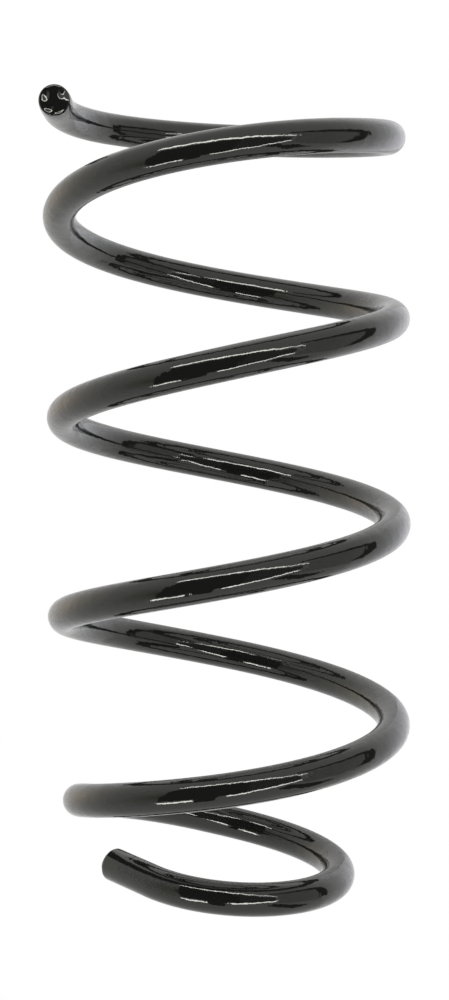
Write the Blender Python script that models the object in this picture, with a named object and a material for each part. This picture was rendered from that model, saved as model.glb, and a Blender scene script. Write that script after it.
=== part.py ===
"""Coil spring for a car strut: one length of round bar wound cold into nearly five coils.

The bar is wound from its upper end down, to the right, round an upright axis. The top coil lies
nearly flat under the strut's upper seat, the middle coils carry the load, and the lowest coil is
wound smaller, so that it nests on the strut's lower seat. Units are metres and +Z is up. The
origin is under the middle of the spring, at the height of its lowest point.
"""
import math

import bmesh
import bpy
from mathutils import Vector

# The bar
WIRE_DIAMETER = 0.0130
END_RIM_RADIUS = 0.0016

# The coils, measured to the middle of the bar
MEAN_COIL_DIAMETER = 0.1310
LOWER_COIL_DIAMETER = 0.0875
LOWER_COIL_TURNS = 0.63
TAPER_TURNS = 0.40
LOWER_TAIL_LENGTH = 0.0230
UPPER_END_ANGLE = math.radians(194.5)

# The axis leans this far towards the upper end, and is straight below the bowed turns
AXIS_BOW = 0.0044
BOWED_TURNS = 2.50

# Turns wound in each stage, from the upper end down
UPPER_SEAT_TURNS = 0.67
DROP_TURNS = 0.32
RECOVERY_TURNS = 0.47
OPENING_TURNS = 0.33
MIDDLE_TURNS = 0.88
LONG_PITCH_TURNS = 0.55
CLOSING_TURNS = 0.61
LOWER_TURNS = 0.42
LOWER_SEAT_TURNS = 0.28
TIP_TURNS = 0.38

# Pitch, in metres a turn, at the ends of those stages
UPPER_END_PITCH = 0.0170
UPPER_SEAT_PITCH = 0.0330
DROP_PITCH = 0.1105
RECOVERY_PITCH = 0.0540
OPENING_PITCH = 0.0895
MIDDLE_PITCH = 0.0730
LONG_PITCH = 0.0890
CLOSING_PITCH = 0.0575
LOWER_PITCH = 0.0710
LOWER_SEAT_PITCH = 0.0335
TIP_PITCH = -0.0480

# How finely the bar is faceted
STATIONS_PER_TURN = 60
BEVEL_RESOLUTION = 6
RIM_SEGMENTS = 2
WELD_DISTANCE = 0.00001
TANGENT_STEP_TURNS = 0.001

# The coating
COATING_COLOUR = (0.012, 0.012, 0.012, 1.0)
COATING_ROUGHNESS = 0.22

WIRE_RADIUS = WIRE_DIAMETER / 2
MEAN_COIL_RADIUS = MEAN_COIL_DIAMETER / 2
LOWER_COIL_RADIUS = LOWER_COIL_DIAMETER / 2

# Each stage's turns, with the pitch that it ends on
WINDING_STAGES = (
    (UPPER_SEAT_TURNS, UPPER_SEAT_PITCH),
    (DROP_TURNS, DROP_PITCH),
    (RECOVERY_TURNS, RECOVERY_PITCH),
    (OPENING_TURNS, OPENING_PITCH),
    (MIDDLE_TURNS, MIDDLE_PITCH),
    (LONG_PITCH_TURNS, LONG_PITCH),
    (CLOSING_TURNS, CLOSING_PITCH),
    (LOWER_TURNS, LOWER_PITCH),
    (LOWER_SEAT_TURNS, LOWER_SEAT_PITCH),
    (TIP_TURNS, TIP_PITCH),
)
TOTAL_TURNS = sum(turns for turns, _ in WINDING_STAGES)


def smooth_step(value):
    """Rise from 0 to 1 with a level start and end."""
    value = min(max(value, 0.0), 1.0)
    return value * value * (3 - 2 * value)


def drop_below_upper_end(turn):
    """Height lost since the upper end. The pitch runs evenly from one stage's to the next."""
    drop = 0.0
    start_pitch = UPPER_END_PITCH
    for stage_turns, end_pitch in WINDING_STAGES:
        wound = min(turn, stage_turns)
        pitch_change = (end_pitch - start_pitch) * wound / stage_turns
        drop += (start_pitch + pitch_change / 2) * wound
        turn -= wound
        start_pitch = end_pitch
    return drop


def coil_radius(turn):
    """Full size down to the taper, then drawn in to the smaller lower coil."""
    taper_start = TOTAL_TURNS - LOWER_COIL_TURNS - TAPER_TURNS
    drawn_in = smooth_step((turn - taper_start) / TAPER_TURNS)
    return MEAN_COIL_RADIUS + (LOWER_COIL_RADIUS - MEAN_COIL_RADIUS) * drawn_in


def axis_offset(turn):
    """Sideways lean of the winding axis at this turn."""
    bowed = max(1 - turn / BOWED_TURNS, 0.0)
    lean = AXIS_BOW * bowed * bowed
    return Vector((lean * math.cos(UPPER_END_ANGLE), lean * math.sin(UPPER_END_ANGLE), 0.0))


def centre_line_point(turn):
    """Middle of the bar at this turn, below an upper end at height 0."""
    angle = UPPER_END_ANGLE - 2 * math.pi * turn
    radius = coil_radius(turn)
    point = Vector((radius * math.cos(angle), radius * math.sin(angle), -drop_below_upper_end(turn)))
    return point + axis_offset(turn)


def centre_line():
    """Points down the middle of the bar, with the straight tail that the cut-off leaves."""
    stations = round(TOTAL_TURNS * STATIONS_PER_TURN)
    points = [centre_line_point(TOTAL_TURNS * index / stations) for index in range(stations + 1)]
    just_before = centre_line_point(TOTAL_TURNS - TANGENT_STEP_TURNS)
    tail_direction = (points[-1] - just_before).normalized()
    points.append(points[-1] + tail_direction * LOWER_TAIL_LENGTH)
    return points


def make_bar_curve(points):
    """Sweep the round bar along the points, with both cut ends closed."""
    curve = bpy.data.curves.new("bar_sweep", type="CURVE")
    curve.dimensions = "3D"
    curve.twist_mode = "MINIMUM"
    curve.bevel_depth = WIRE_RADIUS
    curve.bevel_resolution = BEVEL_RESOLUTION
    curve.use_fill_caps = True
    spline = curve.splines.new("POLY")
    spline.points.add(len(points) - 1)
    for spline_point, point in zip(spline.points, points):
        spline_point.co = (*point, 1.0)
    bar = bpy.data.objects.new("bar_sweep", curve)
    bpy.context.scene.collection.objects.link(bar)
    return bar


def make_spring_mesh(bar):
    """Turn the swept bar into one closed mesh with blunt rims on its two cut ends."""
    depsgraph = bpy.context.evaluated_depsgraph_get()
    mesh = bpy.data.meshes.new_from_object(bar.evaluated_get(depsgraph))
    mesh.name = "coil_spring"
    form = bmesh.new()
    form.from_mesh(mesh)
    bmesh.ops.remove_doubles(form, verts=form.verts, dist=WELD_DISTANCE)
    cap_triangles = [face for face in form.faces if len(face.verts) == 3]
    end_faces = bmesh.ops.dissolve_faces(form, faces=cap_triangles, use_verts=False)["region"]
    rim_edges = [edge for face in end_faces for edge in face.edges]
    bmesh.ops.bevel(
        form, geom=rim_edges, offset=END_RIM_RADIUS, offset_type="OFFSET",
        segments=RIM_SEGMENTS, profile=0.5, affect="EDGES", material=-1,
    )
    low = Vector([min(vert.co[axis] for vert in form.verts) for axis in range(3)])
    high = Vector([max(vert.co[axis] for vert in form.verts) for axis in range(3)])
    base_middle = Vector(((low.x + high.x) / 2, (low.y + high.y) / 2, low.z))
    bmesh.ops.translate(form, verts=form.verts, vec=-base_middle)
    bmesh.ops.recalc_face_normals(form, faces=form.faces)
    form.to_mesh(mesh)
    form.free()
    return mesh


def black_coating():
    """Gloss black coating, baked on over the whole bar."""
    material = bpy.data.materials.new("black_coating")
    material.use_nodes = True
    shader = material.node_tree.nodes["Principled BSDF"]
    shader.inputs["Base Color"].default_value = COATING_COLOUR
    shader.inputs["Roughness"].default_value = COATING_ROUGHNESS
    shader.inputs["Metallic"].default_value = 0.0
    material.diffuse_color = COATING_COLOUR
    return material


def make_coil_spring(collection):
    """The whole spring, as one solid bar."""
    bar = make_bar_curve(centre_line())
    mesh = make_spring_mesh(bar)
    bpy.data.objects.remove(bar, do_unlink=True)
    mesh.materials.append(black_coating())
    mesh.shade_smooth()
    mesh.set_sharp_from_angle(angle=math.radians(40.0))
    spring = bpy.data.objects.new("coil_spring", mesh)
    collection.objects.link(spring)
    return spring


def main():
    for old_object in list(bpy.data.objects):
        bpy.data.objects.remove(old_object, do_unlink=True)
    collection = bpy.data.collections.new("strut_spring")
    bpy.context.scene.collection.children.link(collection)
    make_coil_spring(collection)


main()
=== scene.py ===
"""Finish and studio for a wound strut spring: a gloss black bar inside a white light tent.

The bar is wound again here as a fine smooth mesh, from the sizes of its solid and a few more for
its two ends, and is laid where that solid stands.
"""
import math
from typing import NamedTuple

import bmesh
import bpy
from bpy.props import FloatProperty, IntProperty, PointerProperty, StringProperty
from mathutils import Matrix, Vector, noise


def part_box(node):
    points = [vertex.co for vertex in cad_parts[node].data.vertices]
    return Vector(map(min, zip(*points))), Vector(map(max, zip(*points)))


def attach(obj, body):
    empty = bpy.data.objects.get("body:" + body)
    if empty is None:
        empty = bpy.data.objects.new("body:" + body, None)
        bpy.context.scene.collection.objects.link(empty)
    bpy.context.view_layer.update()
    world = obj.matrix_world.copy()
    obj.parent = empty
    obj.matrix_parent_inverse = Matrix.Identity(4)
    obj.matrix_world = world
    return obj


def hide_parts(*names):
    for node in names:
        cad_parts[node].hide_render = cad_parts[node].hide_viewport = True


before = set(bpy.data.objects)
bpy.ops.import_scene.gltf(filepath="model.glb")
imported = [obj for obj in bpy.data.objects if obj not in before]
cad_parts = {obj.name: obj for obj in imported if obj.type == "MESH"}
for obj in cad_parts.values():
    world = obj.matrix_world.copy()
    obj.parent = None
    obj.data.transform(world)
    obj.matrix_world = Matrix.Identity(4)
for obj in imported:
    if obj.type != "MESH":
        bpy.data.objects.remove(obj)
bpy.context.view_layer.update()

bl_info = {
    "name": "Strut spring",
    "version": (1, 0, 0),
    "blender": (4, 5, 0),
    "location": "View3D > Sidebar > Spring",
    "description": "Winds a gloss black strut spring and lights it in a white tent",
    "category": "Add Mesh",
}

SPRING_NODE = "coil_spring"

# The sheared upper cut face, seen from its front: its radius is 1, and sides are in degrees
CRUSHED_SIDE = 32
CRUSHED_HALF_WIDTH = 40
CRUSH_STARTS_AT = 0.35
CRUSH_RUN = 0.70
# Each hollow's place across and up, half its width and half its height, and its depth in metres
HOLLOWS = (
    (-0.56, 0.33, 0.30, 0.50, 0.00070),
    (-0.34, -0.50, 0.44, 0.34, 0.00062),
    (0.42, 0.42, 0.26, 0.40, 0.00050),
)
# Each burr's side, half its width and its slope
BURRS = (
    (290, 12, 0.48),
    (312, 12, 0.43),
)
BURRS_START_AT = 0.80
# Takes in the vertices that lie right on the edge of a cut face
EDGE_MARGIN = 1.01


class Card(NamedTuple):
    """A card's middle along a wall and up it, its width and height, and its turn."""

    along: float
    level: float
    width: float
    height: float
    roll: float = 0.0


# The studio, in metres: the front wall round the dark mouth
LAYER_GAP = 0.010
MOUTH_FOOT = Card(along=0.061, level=-0.200, width=0.118, height=0.240)
LEFT_CLOTH = Card(along=-0.480, level=0.110, width=0.800, height=1.000)
# Middle of the painted shade on the left cloth, along the wall and up it, and how far that shade
# reaches
LEFT_CLOTH_DARKEST = (-0.180, 0.110)
LEFT_CLOTH_REACH = (0.52, 0.52, 0.47)
# Each strip lamp's start and end on that wall, along and up, and its width
STRIPS = (
    (-0.215, 0.569, 0.500, 0.495, 0.066),
    (0.500, 0.495, 0.956, 0.446, 0.040),
    (-0.185, -0.219, -0.003, -0.181, 0.062),
    (0.158, -0.148, 0.849, -0.010, 0.058),
)
# The right-hand wall and its frame
RIGHT_SIDE = math.radians(90)
SIDE_POST = Card(along=0.030, level=0.205, width=0.115, height=0.600, roll=-0.080)
SIDE_RAIL = Card(along=-0.360, level=0.645, width=0.870, height=0.145, roll=-0.376)
SIDE_FOOT = Card(along=-0.480, level=-0.530, width=0.800, height=0.340, roll=-0.200)
SIDE_CLOTH = Card(along=-0.330, level=0.175, width=0.640, height=0.800)
# The back wall, with the glows before it
BACK_SIDE = math.radians(172)
BACK_DISTANCE = 1.000
BACK_CLOTH = Card(along=0, level=0.200, width=2.00, height=2.00)
BACK_CLOTH_REACH = (1.00, 1.00, 1.00)
GLOW_DISTANCE = 0.900
# Each glow's name and colour, the setting of its brightness, its side in degrees, level and reach
GLOWS = (
    ("cool_glow", "#f0f0ff", "cool_radiance", 135, 0.200, 1.40),
    ("warm_glow", "#ffdca8", "warm_radiance", -120, 0.200, 0.90),
    ("high_glow", "#ffffff", "high_radiance", 180, 2.000, 2.20),
    ("low_glow", "#ffffff", "low_radiance", 150, -1.500, 2.00),
)
FLOOR_COLOUR = "#f2f2f2"
FLOOR_SIZE = 12.0
WHITE = (1.0, 1.0, 1.0, 1.0)


class BarSizes(bpy.types.PropertyGroup):
    """The bar and the coils that it is wound into."""

    wire_diameter: FloatProperty(
        name="Bar", description="Diameter of the round bar", default=0.0130, unit="LENGTH")
    lower_rim_radius: FloatProperty(
        name="Lower end rim", description="Rounding where the lower cut end meets the bar",
        default=0.0016, unit="LENGTH")
    upper_rim_radius: FloatProperty(
        name="Upper end rim", description="Rounding of the upper cut end, where it isn't crushed",
        default=0.0008, unit="LENGTH")
    upper_end_tip: FloatProperty(
        name="Upper end tip", description="How far the upper cut face tips down from square",
        default=math.radians(4.0), unit="ROTATION", subtype="ANGLE")
    upper_end_pinch: FloatProperty(
        name="Upper end pinch", description="Part of its width that the cut takes off",
        default=0.055)
    pinch_length: FloatProperty(
        name="Pinch length", description="Length of bar over which the end is pinched",
        default=0.006, unit="LENGTH")
    dent_depth: FloatProperty(
        name="Dent depth", description="Depth of the uneven dents that shearing leaves",
        default=0.00030, unit="LENGTH")
    dent_size: FloatProperty(
        name="Dent size", description="Width of one dent", default=0.0018, unit="LENGTH")
    crush_depth: FloatProperty(
        name="Crush depth", description="How far the shear crushes one side of the rim",
        default=0.0011, unit="LENGTH")
    upper_tail_length: FloatProperty(
        name="Upper tail", description="Straight end that the coiler leaves", default=0.0177,
        unit="LENGTH")
    upper_tail_turns: FloatProperty(
        name="Upper tail turns", description="Part of a turn that the straight end stands in for",
        default=0.041)
    upper_draw_in: FloatProperty(
        name="Upper draw-in", description="How far the coil is drawn in where that end starts",
        default=0.0022, unit="LENGTH")
    draw_in_turns: FloatProperty(
        name="Draw-in turns", description="Turns over which the coil opens to its full size",
        default=0.127)
    upper_sag: FloatProperty(
        name="Upper sag", description="How far the end coil dips before its first half turn",
        default=0.0007, unit="LENGTH")
    facet_allowance: FloatProperty(
        name="Facet allowance", description="How far the round bar stands out past its solid",
        default=0.00006, unit="LENGTH")
    mean_coil_diameter: FloatProperty(
        name="Coils", description="Diameter of the coils, to the middle of the bar",
        default=0.1310, unit="LENGTH")
    lower_coil_diameter: FloatProperty(
        name="Lower coil", description="Diameter of the lower coil, to the middle of the bar",
        default=0.0875, unit="LENGTH")
    lower_coil_turns: FloatProperty(
        name="Lower coil turns", description="Turns wound at the smaller diameter", default=0.63)
    taper_turns: FloatProperty(
        name="Taper turns", description="Turns over which the coils draw in", default=0.40)
    lower_tail_length: FloatProperty(
        name="Lower tail", description="Straight end that the cut-off leaves", default=0.0223,
        unit="LENGTH")
    upper_end_angle: FloatProperty(
        name="Upper end", description="Where the bar starts, anticlockwise from the right",
        default=math.radians(194.5), unit="ROTATION", subtype="ANGLE")
    axis_bow: FloatProperty(
        name="Axis bow", description="Lean of the axis towards the upper end", default=0.0044,
        unit="LENGTH")
    bowed_turns: FloatProperty(
        name="Bowed turns", description="Turns over which the axis leans", default=2.50)


class WindingSizes(bpy.types.PropertyGroup):
    """Turns wound in each stage from the upper end down, and the pitch that each ends on."""

    upper_seat_turns: FloatProperty(
        name="Upper seat turns", description="Nearly flat end coil", default=0.67)
    drop_turns: FloatProperty(
        name="Drop turns", description="Steep step down out of the end coil", default=0.32)
    recovery_turns: FloatProperty(
        name="Recovery turns", description="Easing off after the step", default=0.47)
    opening_turns: FloatProperty(
        name="Opening turns", description="Coming up to the working pitch", default=0.33)
    middle_turns: FloatProperty(
        name="Middle turns", description="Working coils", default=0.88)
    long_pitch_turns: FloatProperty(
        name="Long pitch turns", description="Working coils that open up again", default=0.55)
    closing_turns: FloatProperty(
        name="Closing turns", description="Closing up above the lower coils", default=0.61)
    lower_turns: FloatProperty(
        name="Lower turns", description="Closer coils above the seat", default=0.42)
    lower_seat_turns: FloatProperty(
        name="Lower seat turns", description="Levelling out on the lower seat", default=0.28)
    tip_turns: FloatProperty(
        name="Tip turns", description="End that rises off the seat", default=0.38)
    upper_end_pitch: FloatProperty(
        name="Upper end pitch", description="Height lost a turn", default=0.0170, unit="LENGTH")
    upper_seat_pitch: FloatProperty(
        name="Upper seat pitch", description="Height lost a turn", default=0.0330, unit="LENGTH")
    drop_pitch: FloatProperty(
        name="Drop pitch", description="Height lost a turn", default=0.1105, unit="LENGTH")
    recovery_pitch: FloatProperty(
        name="Recovery pitch", description="Height lost a turn", default=0.0540, unit="LENGTH")
    opening_pitch: FloatProperty(
        name="Opening pitch", description="Height lost a turn", default=0.0895, unit="LENGTH")
    middle_pitch: FloatProperty(
        name="Middle pitch", description="Height lost a turn", default=0.0730, unit="LENGTH")
    long_pitch: FloatProperty(
        name="Long pitch", description="Height lost a turn", default=0.0890, unit="LENGTH")
    closing_pitch: FloatProperty(
        name="Closing pitch", description="Height lost a turn", default=0.0575, unit="LENGTH")
    lower_pitch: FloatProperty(
        name="Lower pitch", description="Height lost a turn", default=0.0710, unit="LENGTH")
    lower_seat_pitch: FloatProperty(
        name="Lower seat pitch", description="Height lost a turn", default=0.0335, unit="LENGTH")
    tip_pitch: FloatProperty(
        name="Tip pitch", description="Height lost a turn, below zero where the bar rises",
        default=-0.0480, unit="LENGTH")


class MeshFineness(bpy.types.PropertyGroup):
    """How finely the smooth bar is divided."""

    stations_per_turn: IntProperty(
        name="Stations", description="Rings of vertices in one turn", default=256)
    section_sides: IntProperty(
        name="Sides", description="Vertices round the bar", default=56)
    rim_segments: IntProperty(
        name="Rim segments", description="Steps in the rounded rim of a cut end", default=6)
    face_rings: IntProperty(
        name="Face rings", description="Rings of faces on a cut end", default=28)
    tail_rings: IntProperty(
        name="Tail rings", description="Rings of vertices along the upper tail", default=6)


class CoatingLook(bpy.types.PropertyGroup):
    """Gloss black powder coating."""

    colour: StringProperty(
        name="Colour", description="Coating colour, as an sRGB hex value", default="#191a18")
    gloss_tint: StringProperty(
        name="Gloss tint", description="Colour of its head-on reflections", default="#fffff7")
    least_roughness: FloatProperty(
        name="Least roughness", description="Blur of reflections where the coat is slick",
        default=0.03)
    most_roughness: FloatProperty(
        name="Most roughness", description="Blur of reflections where the coat is duller",
        default=0.08)
    peel_size: FloatProperty(
        name="Orange peel", description="Width of one dimple", default=0.0022, unit="LENGTH")
    peel_height: FloatProperty(
        name="Peel height", description="Depth of a dimple", default=0.00005, unit="LENGTH")
    wave_size: FloatProperty(
        name="Waves", description="Length of the bar's own slow waves", default=0.006,
        unit="LENGTH")
    wave_height: FloatProperty(
        name="Wave height", description="Height of those waves", default=0.00016, unit="LENGTH")


class CameraPlace(bpy.types.PropertyGroup):
    """The camera, measured from the spring's lowest point."""

    side: FloatProperty(
        name="Side", description="To the right of the origin", default=0.0021, unit="LENGTH")
    distance: FloatProperty(
        name="Distance", description="In front of the origin", default=0.9167, unit="LENGTH")
    height: FloatProperty(
        name="Height", description="Above the origin", default=0.2001, unit="LENGTH")
    down: FloatProperty(
        name="Look down", description="Tilt below level", default=0.0460, unit="ROTATION",
        subtype="ANGLE")
    left: FloatProperty(
        name="Look left", description="Turn to the left", default=0.0020, unit="ROTATION",
        subtype="ANGLE")
    focal_length: FloatProperty(
        name="Focal length", description="Lens, on a 36 mm sensor", default=83.1)


class StudioSizes(bpy.types.PropertyGroup):
    """The tent's walls, its dark mouth, its lamps and the floor."""

    wall_azimuth: FloatProperty(
        name="Front wall", description="Side that the wall with the mouth faces, from the front",
        default=math.radians(-20.1), unit="ROTATION", subtype="ANGLE")
    wall_distance: FloatProperty(
        name="Front wall distance", description="From the coil axis", default=0.429,
        unit="LENGTH")
    mouth_along: FloatProperty(
        name="Mouth", description="Middle of the dark opening, along the wall", default=0.037,
        unit="LENGTH")
    mouth_level: FloatProperty(
        name="Mouth level", description="Height of its middle", default=0.175, unit="LENGTH")
    mouth_width: FloatProperty(
        name="Mouth width", description="Width of the dark opening", default=0.410,
        unit="LENGTH")
    mouth_height: FloatProperty(
        name="Mouth height", description="Height of the dark opening", default=0.580,
        unit="LENGTH")
    mouth_end_along: FloatProperty(
        name="Mouth end", description="Middle of the mouth's grey end, along the wall",
        default=0.530, unit="LENGTH")
    mouth_end_width: FloatProperty(
        name="Mouth end width", description="Width of that grey end", default=0.576,
        unit="LENGTH")
    mouth_end_taper: FloatProperty(
        name="Mouth end taper", description="Height left at its far side, as a share",
        default=0.45)
    strip_radiance: FloatProperty(
        name="Strip radiance", description="Brightness of the strips, where 1 is white",
        default=17.0)
    side_distance: FloatProperty(
        name="Side wall distance", description="From the coil axis", default=0.650,
        unit="LENGTH")
    cool_radiance: FloatProperty(
        name="Cool glow", description="Brightness that the right-hand glow adds", default=0.95)
    warm_radiance: FloatProperty(
        name="Warm glow", description="Brightness that the left-hand glow adds", default=0.60)
    high_radiance: FloatProperty(
        name="High glow", description="Brightness that the glow on high adds", default=0.45)
    low_radiance: FloatProperty(
        name="Low glow", description="Brightness that the glow low down adds", default=0.50)
    floor_height: FloatProperty(
        name="Floor", description="Height of the floor below the hanging spring",
        default=-0.850, unit="LENGTH")


def turned_stages(winding):
    """Each stage's turns, with the pitch that it ends on."""
    return (
        (winding.upper_seat_turns, winding.upper_seat_pitch),
        (winding.drop_turns, winding.drop_pitch),
        (winding.recovery_turns, winding.recovery_pitch),
        (winding.opening_turns, winding.opening_pitch),
        (winding.middle_turns, winding.middle_pitch),
        (winding.long_pitch_turns, winding.long_pitch),
        (winding.closing_turns, winding.closing_pitch),
        (winding.lower_turns, winding.lower_pitch),
        (winding.lower_seat_turns, winding.lower_seat_pitch),
        (winding.tip_turns, winding.tip_pitch),
    )


def smooth_step(value):
    """Rise from 0 to 1 with a level start and end."""
    value = min(max(value, 0.0), 1.0)
    return value * value * (3 - 2 * value)


class CentreLine:
    """The middle of the bar, as a function of the turns wound since the upper end."""

    # Half the turns over which the bar's direction is measured
    tangent_step = 0.001
    # Turns over which the end coil dips, and those wound before it lifts again and while it does
    dip_turns = 0.19
    lift_start = 0.071
    lift_turns = 0.30

    def __init__(self, bar, winding):
        self.bar = bar
        self.stages = turned_stages(winding)
        self.start_pitch = winding.upper_end_pitch
        self.total_turns = sum(turns for turns, _ in self.stages)

    def drop(self, turn):
        """Height lost so far. The pitch runs evenly from one stage's to the next."""
        drop = 0.0
        start_pitch = self.start_pitch
        for stage_turns, end_pitch in self.stages:
            wound = min(turn, stage_turns)
            pitch_change = (end_pitch - start_pitch) * wound / stage_turns
            drop += (start_pitch + pitch_change / 2) * wound
            turn -= wound
            start_pitch = end_pitch
        return drop

    def radius(self, turn):
        """Full size below the upper end, then drawn in to the smaller lower coil."""
        bar = self.bar
        taper_start = self.total_turns - bar.lower_coil_turns - bar.taper_turns
        drawn_in = smooth_step((turn - taper_start) / bar.taper_turns)
        opened = smooth_step((turn - bar.upper_tail_turns) / bar.draw_in_turns)
        full = bar.mean_coil_diameter / 2
        lower = bar.lower_coil_diameter / 2
        return full + (lower - full) * drawn_in - bar.upper_draw_in * (1 - opened)

    def sag(self, turn):
        """How far the end coil dips below its even pitch."""
        dipped = smooth_step(turn / self.dip_turns)
        lifted = smooth_step((turn - self.lift_start) / self.lift_turns)
        return self.bar.upper_sag * dipped * (1 - lifted)

    def point(self, turn):
        """Middle of the bar, below an upper end at height 0."""
        end_angle = self.bar.upper_end_angle
        bowed = max(1 - turn / self.bar.bowed_turns, 0.0)
        lean = self.bar.axis_bow * bowed * bowed
        angle = end_angle - 2 * math.pi * turn
        radius = self.radius(turn)
        return Vector((
            radius * math.cos(angle) + lean * math.cos(end_angle),
            radius * math.sin(angle) + lean * math.sin(end_angle),
            -self.drop(turn) - self.sag(turn),
        ))

    def direction(self, turn):
        """Which way the bar runs here, down towards its lower end."""
        before = max(turn - self.tangent_step, 0.0)
        after = min(turn + self.tangent_step, self.total_turns)
        return (self.point(after) - self.point(before)).normalized()


def section_place(point, direction):
    """Matrix that lays a flat circle across the bar, with its X axis pointing sideways."""
    sideways = direction.cross(Vector((0, 0, 1))).normalized()
    upright = sideways.cross(direction)
    columns = Matrix((sideways, upright, -direction)).transposed()
    return Matrix.Translation(point) @ columns.to_4x4()


def section_places(line, fineness):
    """One place for each ring of vertices, down the upper tail, the coils and the lower tail."""
    bar = line.bar
    start, end = bar.upper_tail_turns, line.total_turns
    upper_direction, lower_direction = line.direction(start), line.direction(end)
    places = []
    for index in range(fineness.tail_rings):
        run = bar.upper_tail_length * index / fineness.tail_rings
        point = line.point(start) - upper_direction * (bar.upper_tail_length - run)
        width = 1 - bar.upper_end_pinch * (1 - smooth_step(run / bar.pinch_length))
        pinched = Matrix.Diagonal((width, width, 1, 1))
        places.append(section_place(point, upper_direction) @ pinched)
    places[0] = places[0] @ Matrix.Rotation(bar.upper_end_tip, 4, "X")
    count = round((end - start) * fineness.stations_per_turn)
    for index in range(count + 1):
        turn = start + (end - start) * index / count
        places.append(section_place(line.point(turn), line.direction(turn)))
    tail_end = line.point(end) + lower_direction * bar.lower_tail_length
    places.append(section_place(tail_end, lower_direction))
    return places


def sweep_section(form, radius, places, sides):
    """Extrude the bar's round section from place to place. Returns its two open rims."""
    bmesh.ops.create_circle(form, cap_ends=False, segments=sides, radius=radius, matrix=places[0])
    first_rim = form.edges[:]
    rim = first_rim
    for here, there in zip(places, places[1:]):
        grown = bmesh.ops.extrude_edge_only(form, edges=rim)["geom"]
        rim = [part for part in grown if isinstance(part, bmesh.types.BMEdge)]
        ring = [part for part in grown if isinstance(part, bmesh.types.BMVert)]
        bmesh.ops.transform(form, matrix=there @ here.inverted(), verts=ring)
    return first_rim, rim


def degrees_apart(side, other):
    """The angle between two directions round the bar."""
    return abs((side - other + 180) % 360 - 180)


def sheared_depth(spot, bar):
    """How far this spot of the upper cut face lies below a clean cut."""
    side = math.degrees(math.atan2(spot.y, spot.x))
    crushed = smooth_step(1 - degrees_apart(side, CRUSHED_SIDE) / CRUSHED_HALF_WIDTH)
    depth = bar.crush_depth * crushed * smooth_step((spot.length - CRUSH_STARTS_AT) / CRUSH_RUN)
    for across, up, half_width, half_height, hollow_depth in HOLLOWS:
        away = math.hypot((spot.x - across) / half_width, (spot.y - up) / half_height)
        depth += hollow_depth * (1 - smooth_step(away))
    for burr_side, half_width, slope in BURRS:
        raised = smooth_step(2 * (1 - degrees_apart(side, burr_side) / half_width))
        run = max(spot.length - BURRS_START_AT, 0.0) * bar.wire_diameter / 2
        depth -= slope * run * raised
    return depth


def close_cut_end(form, rim, rim_radius, fineness):
    """Fill a cut end and round its rim. Returns the middle of its face and its way out."""
    face = bmesh.ops.edgeloop_fill(form, edges=rim)["faces"][0]
    side_face = next(other for other in rim[0].link_faces if other != face)
    middle, outwards = face.calc_center_median(), face.normal.copy()
    if outwards.dot(side_face.calc_center_median() - middle) > 0:
        outwards.negate()
    bmesh.ops.bevel(
        form, geom=rim, offset=rim_radius, offset_type="OFFSET",
        segments=fineness.rim_segments, profile=0.5, affect="EDGES", material=-1)
    face = min(form.faces, key=lambda face: (face.calc_center_median() - middle).length)
    reach = max((vert.co - middle).length for vert in face.verts)
    for _ in range(fineness.face_rings - 1):
        bmesh.ops.inset_region(form, faces=[face], thickness=reach / fineness.face_rings)
    bmesh.ops.poke(form, faces=[face])
    return middle, outwards


def batter_cut_end(form, middle, outwards, place, bar, rim_radius, sheared):
    """Dent a cut face a little, and shape it as the shear left it if it is the sheared one."""
    across = place.inverted()
    for vert in form.verts:
        spot = (across @ vert.co).to_2d() / (bar.wire_diameter / 2)
        behind = abs((middle - vert.co).dot(outwards))
        if spot.length < EDGE_MARGIN and behind < EDGE_MARGIN * rim_radius:
            dent = noise.noise(vert.co / bar.dent_size) * bar.dent_depth * spot.length_squared
            depth = sheared_depth(spot, bar) if sheared else 0.0
            vert.co += outwards * (dent - depth)


def wind_bar(bar, winding, fineness):
    """The whole spring as one smooth closed mesh, where its solid stands."""
    line = CentreLine(bar, winding)
    places = section_places(line, fineness)
    form = bmesh.new()
    rims = sweep_section(form, bar.wire_diameter / 2, places, fineness.section_sides)
    for rim, place, rim_radius, sheared in zip(
            rims, (places[0], places[-1]), (bar.upper_rim_radius, bar.lower_rim_radius),
            (True, False)):
        middle, outwards = close_cut_end(form, rim, rim_radius, fineness)
        batter_cut_end(form, middle, outwards, place, bar, rim_radius, sheared)
    low = Vector([min(vert.co[axis] for vert in form.verts) for axis in range(3)])
    high = Vector([max(vert.co[axis] for vert in form.verts) for axis in range(3)])
    solid_low, solid_high = (Vector(corner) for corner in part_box(SPRING_NODE))
    shift = Vector((
        solid_high.x - high.x + bar.facet_allowance,
        (solid_low.y + solid_high.y - low.y - high.y) / 2,
        solid_low.z - low.z - bar.facet_allowance,
    ))
    bmesh.ops.translate(form, verts=form.verts, vec=shift)
    bmesh.ops.recalc_face_normals(form, faces=form.faces)
    mesh = bpy.data.meshes.new("wound_bar")
    form.to_mesh(mesh)
    form.free()
    mesh.shade_smooth()
    return mesh


def linear_colour(hex_value):
    """An sRGB hex colour, such as #161614, as the linear colour that shaders take."""
    channels = [int(hex_value[index:index + 2], 16) / 255 for index in (1, 3, 5)]
    linear = [
        channel / 12.92 if channel <= 0.04045 else ((channel + 0.055) / 1.055) ** 2.4
        for channel in channels
    ]
    return (*linear, 1.0)


def add_node(tree, kind, links=None, **settings):
    """Add a node. Settings are its own properties or its inputs, and links feed its inputs."""
    node = tree.nodes.new(kind)
    for name, value in settings.items():
        if hasattr(node, name):
            setattr(node, name, value)
        else:
            node.inputs[name.replace("_", " ")].default_value = value
    for name, socket in (links or {}).items():
        tree.links.new(socket, node.inputs[name])
    return node


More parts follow.
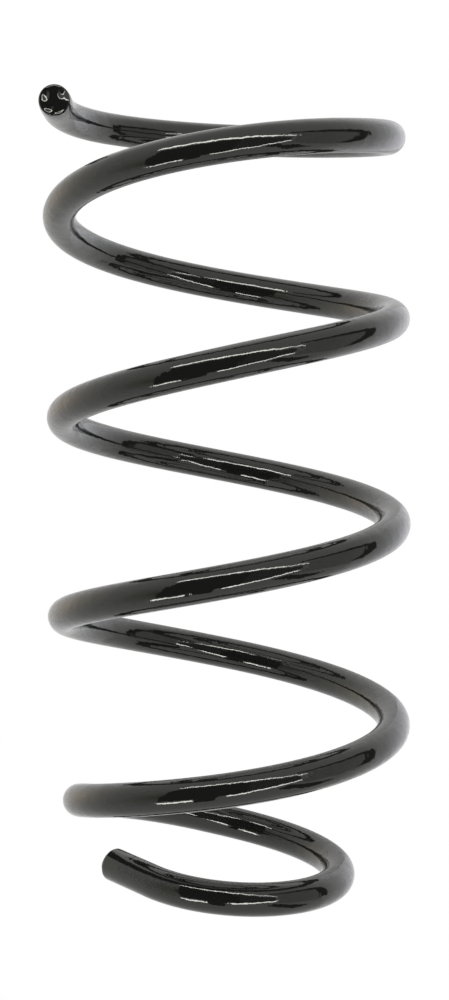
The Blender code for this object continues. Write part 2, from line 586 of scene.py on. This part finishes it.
def powder_coating(look):
    """Gloss black powder coating on steel, sprayed and baked.

    It gives the eye near black, with a soft sheen and sharp lights that waver over its orange peel.
    """
    material = bpy.data.materials.new("Gloss black powder coating")
    material.use_nodes = True
    tree = material.node_tree
    shader = tree.nodes["Principled BSDF"]
    shader.inputs["Base Color"].default_value = linear_colour(look.colour)
    shader.inputs["Specular Tint"].default_value = linear_colour(look.gloss_tint)
    shader.inputs["IOR"].default_value = 1.5
    place = add_node(tree, "ShaderNodeTexCoord").outputs["Object"]
    peel = add_node(
        tree, "ShaderNodeTexNoise", {"Vector": place},
        Scale=1 / look.peel_size, Detail=2.0, Roughness=0.5)
    waves = add_node(
        tree, "ShaderNodeTexNoise", {"Vector": place},
        Scale=1 / look.wave_size, Detail=1.0, Roughness=0.4)
    wave_bump = add_node(
        tree, "ShaderNodeBump", {"Height": waves.outputs["Fac"]},
        Strength=1.0, Distance=look.wave_height)
    peel_bump = add_node(
        tree, "ShaderNodeBump",
        {"Height": peel.outputs["Fac"], "Normal": wave_bump.outputs["Normal"]},
        Strength=1.0, Distance=look.peel_height)
    blur = add_node(tree, "ShaderNodeMapRange", {"Value": waves.outputs["Fac"]})
    blur.inputs["From Min"].default_value = 0.3
    blur.inputs["From Max"].default_value = 0.7
    blur.inputs["To Min"].default_value = look.least_roughness
    blur.inputs["To Max"].default_value = look.most_roughness
    tree.links.new(blur.outputs["Result"], shader.inputs["Roughness"])
    tree.links.new(peel_bump.outputs["Normal"], shader.inputs["Normal"])
    return material


def matt_card(name, hex_value):
    """Matt felt, cloth or paint, which gives the eye one even tone and no reflections."""
    material = bpy.data.materials.new(name)
    material.use_nodes = True
    shader = material.node_tree.nodes["Principled BSDF"]
    shader.inputs["Base Color"].default_value = linear_colour(hex_value)
    shader.inputs["Roughness"].default_value = 1.0
    shader.inputs["Specular IOR Level"].default_value = 0.0
    return material


def fading_mask(tree, middle, reach):
    """A value that is 1 at the middle and fades to 0 at the reach, for painted shade on cloth and
    for the glows.
    """
    place = add_node(tree, "ShaderNodeTexCoord").outputs["Object"]
    centred = add_node(
        tree, "ShaderNodeVectorMath", {0: place}, operation="SUBTRACT")
    centred.inputs[1].default_value = middle
    scaled = add_node(
        tree, "ShaderNodeVectorMath", {0: centred.outputs["Vector"]}, operation="DIVIDE")
    scaled.inputs[1].default_value = reach
    return add_node(
        tree, "ShaderNodeTexGradient", {"Vector": scaled.outputs["Vector"]},
        gradient_type="QUADRATIC_SPHERE").outputs["Fac"]


def cloth_with_painted_shade(name, hex_value, middle, reach):
    """Studio cloth with painted shade: this colour in the middle and white at its edges."""
    material = matt_card(name, hex_value)
    tree = material.node_tree
    colours = add_node(
        tree, "ShaderNodeMix", {"Factor": fading_mask(tree, middle, reach)}, data_type="RGBA")
    colours.inputs["A"].default_value = WHITE
    colours.inputs["B"].default_value = linear_colour(hex_value)
    tree.links.new(colours.outputs["Result"], tree.nodes["Principled BSDF"].inputs["Base Color"])
    return material


def glow(name, hex_value, radiance, middle, reach):
    """Light that a lamp leaves on the tent's cloth. It adds to the white behind it."""
    material = bpy.data.materials.new(name)
    material.use_nodes = True
    tree = material.node_tree
    tree.nodes.clear()
    strength = add_node(
        tree, "ShaderNodeMath", {0: fading_mask(tree, middle, reach)}, operation="MULTIPLY")
    strength.inputs[1].default_value = radiance
    light = add_node(
        tree, "ShaderNodeEmission", {"Strength": strength.outputs["Value"]},
        Color=linear_colour(hex_value))
    clear = add_node(tree, "ShaderNodeBsdfTransparent")
    both = add_node(
        tree, "ShaderNodeAddShader", {0: light.outputs["Emission"], 1: clear.outputs["BSDF"]})
    add_node(tree, "ShaderNodeOutputMaterial", {"Surface": both.outputs["Shader"]})
    return material


def white_floor():
    """Matt white studio floor. It keeps shadows, and a little glow lifts it to the surround."""
    material = matt_card("Matt white floor", FLOOR_COLOUR)
    tree = material.node_tree
    shader = tree.nodes["Principled BSDF"]
    path = add_node(tree, "ShaderNodeLightPath")
    seen = path.outputs["Is Camera Ray"]
    for kind in ("Is Glossy Ray", "Is Transmission Ray"):
        either = add_node(
            tree, "ShaderNodeMath", {0: seen, 1: path.outputs[kind]}, operation="MAXIMUM")
        seen = either.outputs["Value"]
    lift = add_node(tree, "ShaderNodeMath", {0: seen}, operation="MULTIPLY")
    lift.inputs[1].default_value = 1 - linear_colour(FLOOR_COLOUR)[0]
    shader.inputs["Emission Color"].default_value = WHITE
    tree.links.new(lift.outputs["Value"], shader.inputs["Emission Strength"])
    return material


def white_world():
    """A plain white surround that lights the spring and shows in its gloss."""
    world = bpy.data.worlds.new("White surround")
    world.use_nodes = True
    background = world.node_tree.nodes["Background"]
    background.inputs["Color"].default_value = WHITE
    background.inputs["Strength"].default_value = 1.0
    bpy.context.scene.world = world


def wall_place(azimuth, distance, along, height, roll=0.0):
    """A place on an upright wall. X runs along the wall, Y up, and -Z points at the coil axis."""
    turn = Matrix.Rotation(azimuth, 4, "Z")
    stand = Matrix.Rotation(math.pi / 2, 4, "X")
    spot = Matrix.Translation((along, height, 0)) @ Matrix.Rotation(roll, 4, "Z")
    return turn @ Matrix.Translation((0, -distance, 0)) @ stand @ spot


def soft_lamp(name, place, width, height, radiance):
    """A rectangular white lamp that shines along its place's -Z axis, unseen by the camera."""
    lamp = bpy.data.lights.new(name, type="AREA")
    lamp.shape = "RECTANGLE"
    lamp.size = width
    lamp.size_y = height
    lamp.energy = radiance * math.pi * width * height
    holder = bpy.data.objects.new(name, lamp)
    holder.matrix_world = place
    holder.visible_camera = False
    bpy.context.scene.collection.objects.link(holder)
    return holder


def stage_card(name, place, width, height, material, taper=1.0):
    """A flat card of the studio, with its place in its mesh. Taper narrows its right-hand side."""
    form = bmesh.new()
    bmesh.ops.create_grid(form, x_segments=1, y_segments=1, size=0.5)
    right_side = [vert for vert in form.verts if vert.co.x > 0]
    bmesh.ops.scale(form, vec=(1, taper, 1), verts=right_side)
    bmesh.ops.transform(
        form, matrix=place @ Matrix.Diagonal((width, height, 1, 1)), verts=form.verts)
    mesh = bpy.data.meshes.new(name)
    form.to_mesh(mesh)
    form.free()
    mesh.materials.append(material)
    card = bpy.data.objects.new(name, mesh)
    bpy.context.scene.collection.objects.link(card)
    return card


def reflected_card(name, azimuth, distance, card, material, taper=1.0):
    """A card on a wall that only shows in gloss, and neither shades the spring nor hides it."""
    place = wall_place(azimuth, distance, card.along, card.level, card.roll)
    hung = stage_card(name, place, card.width, card.height, material, taper)
    hung.visible_camera = False
    hung.visible_diffuse = False
    hung.visible_shadow = False


def hang_front_wall(studio):
    """The dark mouth of the tent, in black and grey cards of painted shade, and the cloth on its
    left, whose painted shade fades into white.
    """
    azimuth, distance = studio.wall_azimuth, studio.wall_distance
    level, height = studio.mouth_level, studio.mouth_height
    # Painted shade: a near black card stands for the unlit opening of the tent's mouth
    felt = matt_card("Black painted shade of the mouth", "#020202")
    mouth = Card(studio.mouth_along, level, studio.mouth_width, height)
    reflected_card("mouth", azimuth, distance, mouth, felt)
    # Painted shade: a grey card stands for the dimmer far end of the opening
    mouth_end = Card(studio.mouth_end_along, level, studio.mouth_end_width, height)
    reflected_card(
        "mouth_end", azimuth, distance, mouth_end, matt_card("Grey painted shade of the mouth's end", "#616161"),
        studio.mouth_end_taper)
    # The mouth's foot, in the same black painted shade
    reflected_card("mouth_foot", azimuth, distance, MOUTH_FOOT, felt)
    # The cloth left of the mouth has painted shade, darkest near the mouth and white at its edges
    darkest = wall_place(azimuth, distance, *LEFT_CLOTH_DARKEST).translation
    reflected_card(
        "left_cloth", azimuth, distance + LAYER_GAP, LEFT_CLOTH,
        cloth_with_painted_shade("Left cloth in painted shade", "#a29c8e", darkest, LEFT_CLOTH_REACH))


def hang_strips(studio):
    """A strip of light over the mouth and a broken one under it, which only show in gloss."""
    for start, start_level, end, end_level, width in STRIPS:
        rise = end_level - start_level
        place = wall_place(
            studio.wall_azimuth, studio.wall_distance - LAYER_GAP, (start + end) / 2,
            (start_level + end_level) / 2, math.atan2(rise, end - start))
        length = math.hypot(end - start, rise)
        strip = soft_lamp("mouth_strip", place, length, width, studio.strip_radiance)
        strip.visible_diffuse = False


def hang_side_wall(studio):
    """The right-hand wall of the tent, grey with painted shade, inside its dark frame."""
    # Dark grey felt for the frame's post, rail and foot
    felt = matt_card("Dark grey felt", "#363636")
    for name, card in (
            ("side_post", SIDE_POST), ("side_rail", SIDE_RAIL), ("side_foot", SIDE_FOOT)):
        reflected_card(name, RIGHT_SIDE, studio.side_distance, card, felt)
    # Painted shade: the white side cloth is given a light grey
    reflected_card(
        "side_cloth", RIGHT_SIDE, studio.side_distance + LAYER_GAP, SIDE_CLOTH,
        matt_card("Grey painted shade of the side cloth", "#dcdcdc"))


def hang_glows(studio):
    """Soft lights on the tent's back: cool right, warm left, and white high up and low down."""
    for name, colour, radiance, side, level, reach in GLOWS:
        azimuth = math.radians(side)
        middle = wall_place(azimuth, GLOW_DISTANCE, 0, level).translation
        light = glow(name, colour, getattr(studio, radiance), middle, (reach, reach, reach))
        reflected_card(
            name, azimuth, GLOW_DISTANCE, Card(0, level, 2 * reach, 2 * reach), light)


def hang_back_wall():
    """White cloth behind the spring, with painted shade that makes it a little dimmer in the middle
    than round it.
    """
    middle = wall_place(BACK_SIDE, BACK_DISTANCE, BACK_CLOTH.along, BACK_CLOTH.level).translation
    reflected_card(
        "back_cloth", BACK_SIDE, BACK_DISTANCE, BACK_CLOTH,
        cloth_with_painted_shade("White cloth with painted shade", "#c8c8c8", middle, BACK_CLOTH_REACH))


def studio_camera(view):
    """The camera at the photograph's place, a little above the middle of the spring."""
    data = bpy.data.cameras.new("camera")
    data.lens = view.focal_length
    camera = bpy.data.objects.new("camera", data)
    camera.location = (view.side, -view.distance, view.height)
    camera.rotation_euler = (math.pi / 2 - view.down, 0, view.left)
    bpy.context.scene.collection.objects.link(camera)
    bpy.context.scene.camera = camera


class OBJECT_OT_wound_spring(bpy.types.Operator):
    """Wind the spring and coat it"""

    bl_idname = "object.wound_spring"
    bl_label = "Wound spring"

    def execute(self, context):
        scene = context.scene
        mesh = wind_bar(scene.spring_bar, scene.spring_winding, scene.spring_fineness)
        mesh.materials.append(powder_coating(scene.spring_coating))
        spring = bpy.data.objects.new("wound_spring", mesh)
        scene.collection.objects.link(spring)
        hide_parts(SPRING_NODE)
        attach(spring, "root")
        return {"FINISHED"}


class OBJECT_OT_light_tent(bpy.types.Operator):
    """Set up the white tent, its lamps, the floor and the camera"""

    bl_idname = "object.light_tent"
    bl_label = "Light tent"

    def execute(self, context):
        studio = context.scene.spring_studio
        white_world()
        hang_front_wall(studio)
        hang_strips(studio)
        hang_side_wall(studio)
        hang_glows(studio)
        hang_back_wall()
        stage_card(
            "floor", Matrix.Translation((0, 0, studio.floor_height)), FLOOR_SIZE, FLOOR_SIZE,
            white_floor())
        studio_camera(context.scene.spring_camera)
        context.scene.view_settings.view_transform = "Standard"
        return {"FINISHED"}


class VIEW3D_PT_strut_spring(bpy.types.Panel):
    """The spring's sizes, its finish and its studio"""

    bl_label = "Strut spring"
    bl_idname = "VIEW3D_PT_strut_spring"
    bl_space_type = "VIEW_3D"
    bl_region_type = "UI"
    bl_category = "Spring"

    def draw(self, context):
        layout = self.layout
        for group_name in GROUP_NAMES:
            group = getattr(context.scene, group_name)
            box = layout.box()
            for name in group.__annotations__:
                box.prop(group, name)
        layout.operator(OBJECT_OT_wound_spring.bl_idname)
        layout.operator(OBJECT_OT_light_tent.bl_idname)


GROUPS = {
    "spring_bar": BarSizes,
    "spring_winding": WindingSizes,
    "spring_fineness": MeshFineness,
    "spring_coating": CoatingLook,
    "spring_camera": CameraPlace,
    "spring_studio": StudioSizes,
}
GROUP_NAMES = tuple(GROUPS)
CLASSES = (*GROUPS.values(), OBJECT_OT_wound_spring, OBJECT_OT_light_tent, VIEW3D_PT_strut_spring)


def register():
    for item in CLASSES:
        bpy.utils.register_class(item)
    for name, group in GROUPS.items():
        setattr(bpy.types.Scene, name, PointerProperty(type=group))


def unregister():
    for name in GROUPS:
        delattr(bpy.types.Scene, name)
    for item in reversed(CLASSES):
        bpy.utils.unregister_class(item)


def main():
    register()
    bpy.ops.object.wound_spring()
    bpy.ops.object.light_tent()


if __name__ == "__main__":
    main()
